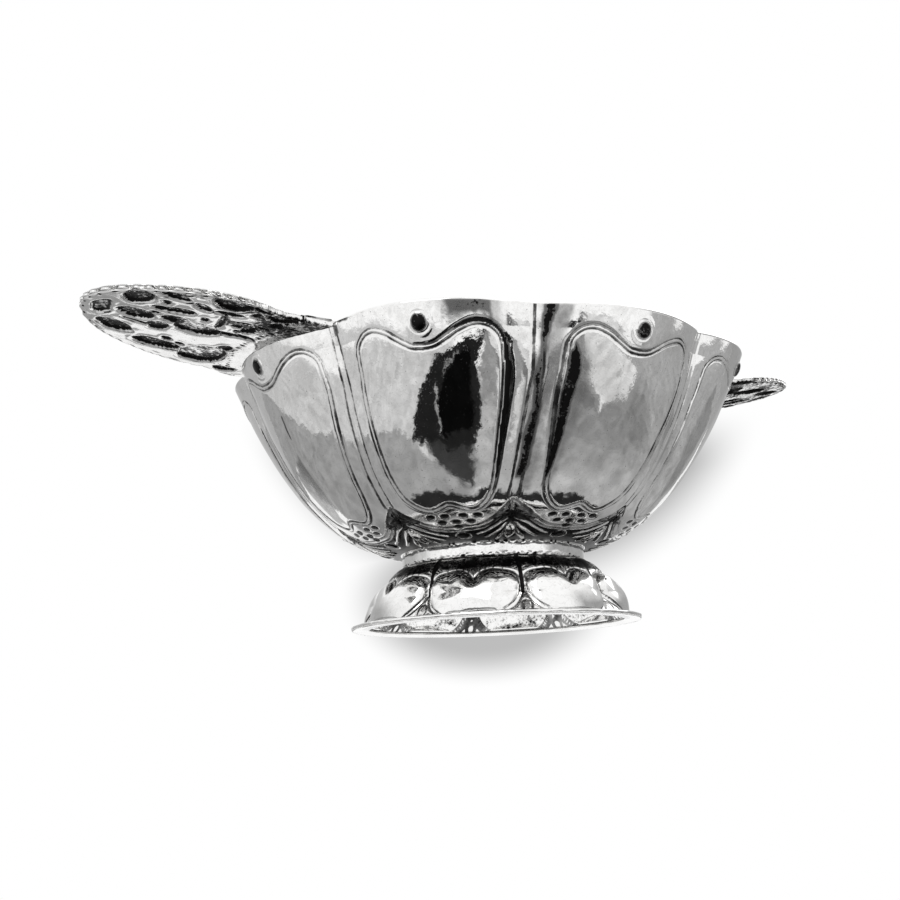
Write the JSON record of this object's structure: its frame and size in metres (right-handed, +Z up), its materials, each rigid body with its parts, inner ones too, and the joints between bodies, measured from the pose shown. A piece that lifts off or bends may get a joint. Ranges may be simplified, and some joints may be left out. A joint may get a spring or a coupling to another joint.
{
  "type": "two-handled brandy bowl",
  "caption": "Lobed silver brandy bowl on a lobed spreading foot, with a flat flange, a plain collar and an oval plate handle at each end of the rim.",
  "frame": {"origin": "centre of the foot flange's underside, where the bowl stands on a table", "axes": "+X runs along the two handles, +Z is up, and +Y is across the handles"},
  "size_m": [0.248, 0.1456, 0.084],
  "materials": {
    "bowl_silver": "hand-planished and polished silver with darkened chased lines",
    "foot_silver": "polished silver with tarnish in the grooves",
    "collar_silver": "plain bright silver with fine dents and solder at its edges",
    "handle_silver": "cast silver in relief, bright on the ridges and dark in the hollows"
  },
  "bodies": {
    "root": {"bowl_body": "bowl_silver", "collar_ring": "collar_silver", "foot_dome": "foot_silver", "foot_flange": "foot_silver", "handle_left": "handle_silver", "handle_right": "handle_silver"}
  },
  "joints": []
}
